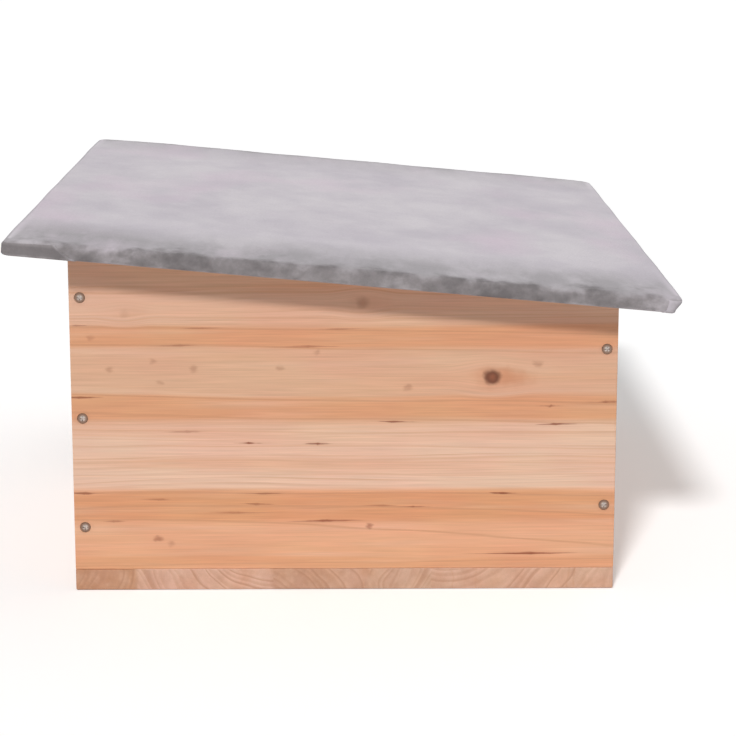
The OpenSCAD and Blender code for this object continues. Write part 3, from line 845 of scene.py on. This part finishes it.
def make_box():
    """The seven boards, each with its own cut of fir, and holes for the screws whose heads show."""
    draw, line_draw = np.random.default_rng(SEED), np.random.default_rng(SEED + 1)
    side, floor, divider = screw_rows()
    width, depth = (-BOX_W / 2, BOX_W / 2), (-BOX_D / 2, BOX_D / 2)
    inner, height = (-INNER_W / 2, INNER_W / 2), (FLOOR_T, FRONT_H + 1)
    face_x, face_y = BOX_W / 2 - SCREW_SINK, BOX_D / 2 - SCREW_SINK

    def lots(length, span, streaks=20, knots=3):
        """Strips, bands, streaks, knots and lines, all drawn by lot."""
        return (
            *glued(span, draw), *strewn(length, span, draw, streaks, knots), ring_lines(span, line_draw),
        )

    made = board("right_wall_board", wall_outline(*depth, ROOF_GAP), WALL_T, side_place(SIDE_X))
    bored(made, [(face_x, y, z) for y, z in side], (-1, 0, 0))
    streaks = RIGHT_STREAKS + [(y, z, *BRUISE) for y, z in side]
    marks = (RIGHT_STRIPS, RIGHT_BANDS, streaks, RIGHT_KNOTS, RIGHT_LINES)
    dress_in_fir(made, "right_wall", ("yzx", SIDE_X, height), marks)

    made = board("left_wall_board", wall_outline(*depth, ROOF_GAP), WALL_T, side_place(-SIDE_X))
    bored(made, [(-face_x, y, z) for y, z in side], (1, 0, 0))
    dress_in_fir(made, "left_wall", ("yzx", -SIDE_X, height), lots(depth, height))

    made = board("front_wall_board", front_view(-END_Y, opening=True), WALL_T, end_place(-END_Y))
    bored(made, [(x, -face_y, z) for x, z in divider], (0, 1, 0))
    dress_in_fir(made, "front_wall", ("xzy", -END_Y, height), lots(inner, height))

    made = board("back_wall_board", front_view(END_Y), WALL_T, end_place(END_Y))
    dress_in_fir(made, "back_wall", ("xzy", END_Y, height), lots(inner, height))

    ends = (DIVIDER_Y - DIVIDER_L / 2, DIVIDER_Y + DIVIDER_L / 2)
    made = board("divider_board", wall_outline(*ends, DIVIDER_GAP), WALL_T, side_place(DIVIDER_X))
    dress_in_fir(made, "divider", ("yzx", DIVIDER_X, height), lots(ends, height, 10, 2))

    made = board("floor_panel", rectangle(BOX_W / 2, BOX_D / 2), FLOOR_T, floor_place)
    bored(made, [(x, y, SCREW_SINK) for x, y in floor], (0, 0, 1))
    marks = (FLOOR_STRIPS, [], *strewn(width, depth, draw, 20, 3), ring_lines(depth, line_draw))
    dress_in_fir(made, "floor_board", ("xyz", FLOOR_T / 2, depth), marks)

    half_x, half_y = FELT_W / 2 - PANEL_IN_X, FELT_L / 2 - PANEL_IN_Y
    outline, thickness = rectangle(half_x, half_y), ROOF_T - PANEL_THINNER
    made = board("roof_panel", outline, thickness, roof_place, ease=PANEL_EASE, corner=PANEL_CORNER)
    length, span = (-half_x, half_x), (-half_y, half_y)
    dress_in_fir(made, "roof_board", ("xyz", PANEL_MIDDLE, span), lots(length, span, 16, 3), body="roof")


# The felt

# Its rolled edge: radii of the upper and lower turn and of the corners, and how much rounder the corners
# get for each millimetre that they are drawn in
TOP_R, BOTTOM_R, CORNER_R, ROUNDER = 3.4, 1.6, 4.5, 0.6
# The back edge's lower part is drawn in: how far, over which width of the roof, and how hollow
CUT_IN, CUT_ZONE, CUT_HOLLOW = 4.5, 9.0, 1.5
# Height above the board's underside up to which the felt lies still, and how its corners are pulled down
STILL, CORNER_DROP, CORNER_SPREAD = 1.0, 0.6, 16.0
# Points of the profile's turns, hem and wall, along a side and round a corner, and rings on the face
TURN_POINTS, HEM_POINTS, WALL_POINTS, RUN_POINTS, CORNER_POINTS, FACE_RINGS = 8, 5, 3, 100, 9, 44

# Wear of the felt, from 0 on its clean face to 1 on its rolled edge: what the turned-under hem, the
# shoulders at the sides and ends, and the sides towards their ends lose of it. The hem's loss is partly
# painted light: its downward roll is made paler to stand in for light thrown up from the floor.
HEM_WEAR_AND_PAINTED_LIGHT, SIDE_WEAR, END_WEAR, AWAY_WEAR, SIDE_BLEND = 0.6, 0.24, 1.0, 0.12, 12.0
# Smudges and frays on the face: how strong, how far in from the sides, and their share on the left
SMUDGE_WEAR, SMUDGED, FRAY_WEAR, FRAYED, LEFT_WEAR = 0.45, 85.0, 0.3, 10.0, 0.4

# Folded corners: right or left, front or back, and the lap's reach along the side
LAPS = ((1, 1, 30), (-1, 1, 27), (1, -1, 5), (-1, -1, 7))
# A lap: how far up the shoulder it goes in radians, the slant of a long one's end, how far it stands off
# the edge, and how its lower and upper borders and its start are tucked in
LAP_TOP, LAP_SLANT, LONG_LAP, LAP_LIFT = 1.1, 14.0, 30, 0.75
LAP_TUCK_LOW, LAP_TUCK_HIGH, LAP_START, LAP_RISE, LAP_SUNK = 0.15, 0.5, -5.0, 8.0, 0.2
LAP_ROWS, LAP_POINTS = 10, 44
# Its wear: at no reach, the gain and the cut end's loss for each millimetre of reach, the shoulder's loss,
# and where the cut end starts and how soon it is pale
LAP_WORN, LAP_GAIN, LAP_LOSS, LAP_WEAR, CUT_WIDTH, CUT_FADE = 0.55, 0.02, 0.011, 0.4, 1.6, 1.2


def felt_profile():
    """Felt's outer profile from its turned-under hem, round the rolled edge, to the shoulder on top: inset
    from the outline, height above the board's underside, and its shares of hem and of shoulder."""
    low = -FELT_T
    turn = np.linspace(0, math.pi / 2, TURN_POINTS)
    under = np.linspace(FELT_TURN, BOTTOM_R, HEM_POINTS)[:-1]
    wall = np.linspace(low + BOTTOM_R, FELT_TOP - TOP_R, WALL_POINTS)[1:-1]
    depth = np.concatenate([
        under, BOTTOM_R * (1 - np.sin(turn)), np.zeros(len(wall)), TOP_R * (1 - np.cos(turn)),
    ])
    height = np.concatenate([
        np.full(len(under), low), low + BOTTOM_R * (1 - np.cos(turn)), wall,
        FELT_TOP - TOP_R * (1 - np.sin(turn)),
    ])
    share = turn / turn[-1]
    hem = np.concatenate([np.ones(len(under)), 1 - share, np.zeros(len(wall) + len(turn))])
    topped = np.concatenate([np.zeros(len(under) + len(turn) + len(wall)), share])
    return depth, height, hem, topped


def rounded_ring(depth):
    """Points anticlockwise round the roof, drawn in by depth: quarter circles at corners, then sides."""
    radius = CORNER_R + ROUNDER * depth
    x, y = FELT_W / 2 - depth - radius, FELT_L / 2 - depth - radius
    run = np.linspace(0, 1, RUN_POINTS, endpoint=False)[1:, None]
    turn = np.linspace(0, math.pi / 2, CORNER_POINTS)
    turns = [turn + k * math.pi / 2 for k in range(4)]
    spots = np.array([(x, y), (-x, y), (-x, -y), (x, -y)])
    arcs = [
        spot + radius * np.column_stack([np.cos(angle), np.sin(angle)]) for spot, angle in zip(spots, turns)
    ]
    ring = []
    for arc, after in zip(arcs, arcs[1:] + arcs[:1]):
        ring += [arc, arc[-1] + (after[0] - arc[-1]) * run]
    return np.concatenate(ring)


def settle(x, y):
    """How far the felt lies off its even shape: long shallow waves, and corners pulled down by folds."""
    waves = (
        0.22 * np.sin(x / 31 + 0.6) * np.sin(y / 27 + 1.9)
        + 0.16 * np.sin(x / 17 - y / 23 + 2.4)
        + 0.10 * np.sin(x / 11 + y / 9 + 0.3)
    )
    gap = np.hypot(FELT_W / 2 - np.abs(x), FELT_L / 2 - np.abs(y))
    return waves - CORNER_DROP * np.exp(-(gap / CORNER_SPREAD) ** 2)


def above_board(z):
    """Share of the way from where the felt lies still to its top."""
    return np.clip((z - STILL) / (FELT_TOP - STILL), 0, 1)


def cut_in(y, z):
    """How far the back edge's lower part is drawn in: most at the underside, nothing at the top."""
    behind = np.clip((y - FELT_L / 2 + CUT_ZONE) / CUT_ZONE, 0, 1)
    return CUT_IN * behind * (1 - above_board(z)) ** CUT_HOLLOW


def edge_wear(rings, hem, topped):
    """Wear of the rolled edge: full on its upright, less on hem and shoulders and at the sides' ends. The
    hem's loss is partly painted light, a paler colour standing in for light from the floor below.
    """
    x, y = np.moveaxis(np.abs(rings), -1, 0)
    on_side = np.clip((FELT_L / 2 - y - FELT_W / 2 + x) / SIDE_BLEND + 0.5, 0, 1)
    shoulders = END_WEAR + (SIDE_WEAR - END_WEAR) * on_side
    gripped = 1 - AWAY_WEAR * on_side * y / (FELT_L / 2)
    return gripped * (1 - HEM_WEAR_AND_PAINTED_LIGHT * hem[:, None] - shoulders * topped[:, None])


def face_wear(x):
    """Wear of the face: smudges that thin out evenly from the sides, and frays that soon die away."""
    inward = FELT_W / 2 - TOP_R - np.abs(x)
    worn = SMUDGE_WEAR * np.clip(1 - inward / SMUDGED, 0, 1) + FRAY_WEAR * np.exp(-inward / FRAYED)
    return worn * np.where(x > 0, 1.0, LEFT_WEAR)


def corner_lap(reach):
    """Lap of felt folded round a corner on to the side edge: the rolled profile, lifted off by a lap's
    thickness, carried from the front edge round the corner, and cut off at a slant. Its wear makes a long
    lap darker than the edge, with a pale cut end, and a short one paler."""
    below, above = np.linspace(-math.pi / 2, 0, LAP_ROWS), np.linspace(0, LAP_TOP, LAP_ROWS)
    slope = np.concatenate([below, above])
    depth = np.concatenate([BOTTOM_R * (1 - np.cos(below)), TOP_R * (1 - np.cos(above))])
    height = np.concatenate([
        BOTTOM_R * (1 + np.sin(below)) - FELT_T, FELT_TOP - TOP_R * (1 - np.sin(above)),
    ])
    rise = np.linspace(0, 1, len(depth))
    swell = np.sin(np.clip(rise * 1.25, 0, 1) * math.pi) ** 0.5
    lift = LAP_LIFT * swell - LAP_TUCK_LOW - LAP_TUCK_HIGH * rise ** 4
    bend = CORNER_R * math.pi / 2
    slant = LAP_SLANT * min(1, reach / LONG_LAP)
    ends = bend + reach + slant * (0.5 - (height + FELT_T) / (FELT_TOP + FELT_T))
    share = np.linspace(0, 1, LAP_POINTS)[:, None]
    run = LAP_START + (ends - LAP_START) * share
    off = (lift + LAP_SUNK) * np.clip((run - LAP_START) / LAP_RISE, 0, 1) - LAP_SUNK
    radius = CORNER_R + ROUNDER * depth
    angle = np.clip(run / CORNER_R, 0, math.pi / 2)
    arm = radius + off * np.cos(slope)
    x = FELT_W / 2 - depth - radius + np.minimum(run, 0) + arm * np.sin(angle)
    y = FELT_L / 2 - depth - radius + arm * np.cos(angle) - np.maximum(run - bend, 0)
    z = np.broadcast_to(height, x.shape)
    points = np.stack([x, y, z + off * np.sin(slope) + above_board(z) * settle(x, y)], axis=-1)
    cut_end = np.clip((run - ends + CUT_WIDTH) / CUT_FADE, 0, 1)
    turned = slope / (math.pi / 2)
    worn = LAP_WORN + LAP_GAIN * reach - LAP_LOSS * reach * cut_end
    # The lap's lower roll loses wear by the hem's share, partly as painted light thrown up from the floor.
    worn = worn - LAP_WEAR * np.clip(turned, 0, 1) - HEM_WEAR_AND_PAINTED_LIGHT * np.clip(-turned, 0, 1)
    return points.reshape(-1, 3), worn.reshape(-1), points.shape[:2]


def make_felt():
    """Felt over the roof board: the rolled profile carried round the outline, the face filled in rings that
    shrink to its middle, and four folded corners that lap over the rolled edge."""
    depth, height, hem, topped = felt_profile()
    rings = np.array([rounded_ring(d) for d in depth])
    inner = np.linspace(1, 0, FACE_RINGS)[1:-1]
    flat = np.concatenate([rings, rings[-1] * inner[:, None, None]])
    heights = np.concatenate([height, np.full(len(inner), FELT_TOP)])[:, None]
    z = heights + above_board(heights) * settle(flat[..., 0], flat[..., 1])
    flat[..., 1] -= cut_in(flat[..., 1], heights)
    rows, cols = z.shape
    pole = rows * cols
    last = pole - cols
    round_pole = np.arange(cols)
    fan = np.stack([last + round_pole, last + (round_pole + 1) % cols, np.full(cols, pole)], axis=-1)
    faces = ring_quads(rows, cols).tolist() + fan.tolist()
    centre = np.array([[0, 0, FELT_TOP + float(settle(np.float64(0), np.float64(0)))]])
    points = np.concatenate([np.concatenate([flat, z[..., None]], axis=-1).reshape(-1, 3), centre])
    amount = np.concatenate([
        edge_wear(rings, hem, topped).reshape(-1), face_wear(points[len(rings) * cols:, 0]),
    ])

    for right, front, reach in LAPS:
        lap, lap_worn, lap_rows = corner_lap(reach)
        lap = lap * np.array([right, -front, 1])
        lap[:, 1] -= cut_in(lap[:, 1], lap[:, 2])
        quads = strip_quads(*lap_rows)
        if right * front > 0:
            quads = quads[:, ::-1]
        faces += (quads + len(points)).tolist()
        points = np.concatenate([points, lap])
        amount = np.concatenate([amount, lap_worn])

    felt = new_object("felt_cover", on_roof(points), faces)
    rolled = felt.data.attributes.new("rolled", "FLOAT", "POINT")
    rolled.data.foreach_set("value", amount.astype(np.float32))
    felt.data.polygons.foreach_set("use_smooth", np.ones(len(faces), bool))
    shell = felt.modifiers.new("thickness", "SOLIDIFY")
    shell.thickness = FELT_T * MM
    shell.offset = -1
    dress(felt, grey_felt(), "roof", "roof_felt")


# The metal

SIDE_SCREWS = ("right_wall_screws", "left_wall_screws")


def plate_metal():
    """Gives the screws, hinges and staples their zinc plating, with painted shade on the side screws' brown
    rims and a painted highlight on their faces.
    """
    steel = zinc_steel("zinc_plated_steel")
    driven = zinc_steel("zinc_plated_screws", screw_rows()[0])
    for row in frame["record"]["subparts"]:
        if row["material_slot"] == "zinc_steel":
            part = frame["nodes"][row["node"]]
            part.data.materials.clear()
            part.data.materials.append(driven if row["node"] in SIDE_SCREWS else steel)


make_camera()
make_light()
make_floor()
make_box()
make_felt()
plate_metal()

bpy.context.scene.view_settings.view_transform = "Standard"
